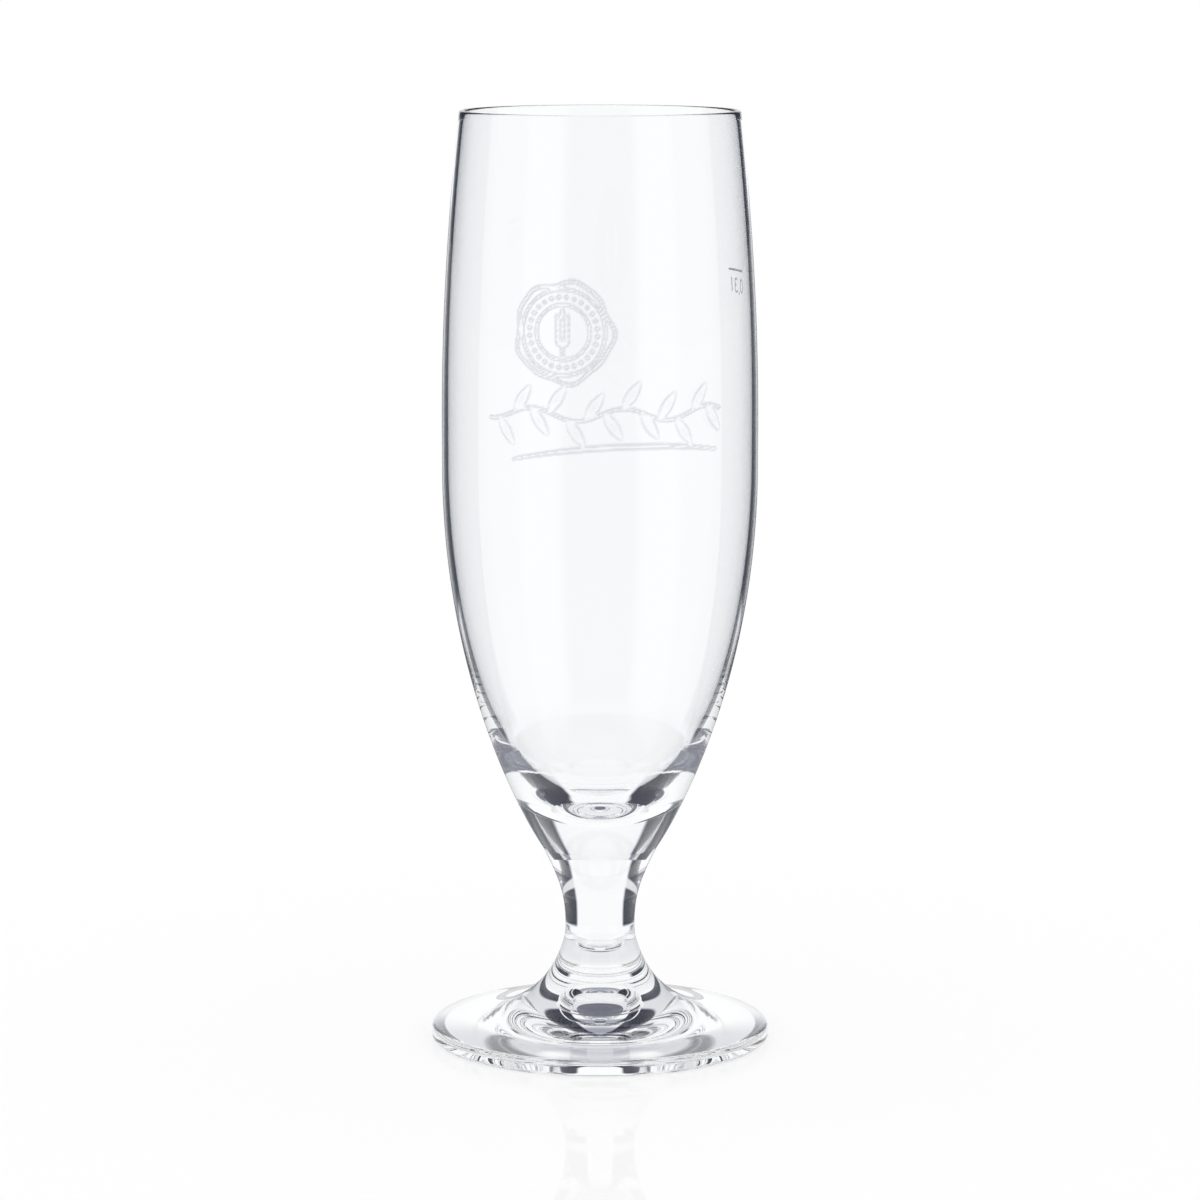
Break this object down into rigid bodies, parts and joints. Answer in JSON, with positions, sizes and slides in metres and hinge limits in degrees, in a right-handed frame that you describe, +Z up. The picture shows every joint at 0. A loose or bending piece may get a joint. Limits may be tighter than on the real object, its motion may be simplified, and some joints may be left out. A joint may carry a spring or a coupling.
{
  "type": "pilsner glass",
  "caption": "Tall footed beer glass: slender clear bowl drawn in at the rim, thick solid base, short necked stem and round disc foot with a kick-up underneath.",
  "frame": {"origin": "centre of the foot on the surface that the glass stands on", "axes": "+Z up along the glass's axis, towards the rim; +X to the right and -Y towards the viewer of the pictured front"},
  "size_m": [0.0738, 0.0738, 0.202],
  "materials": {
    "clear_glass": "polished, colourless"
  },
  "bodies": {
    "root": {"bowl": "clear_glass", "stem": "clear_glass", "foot": "clear_glass"}
  },
  "joints": []
}
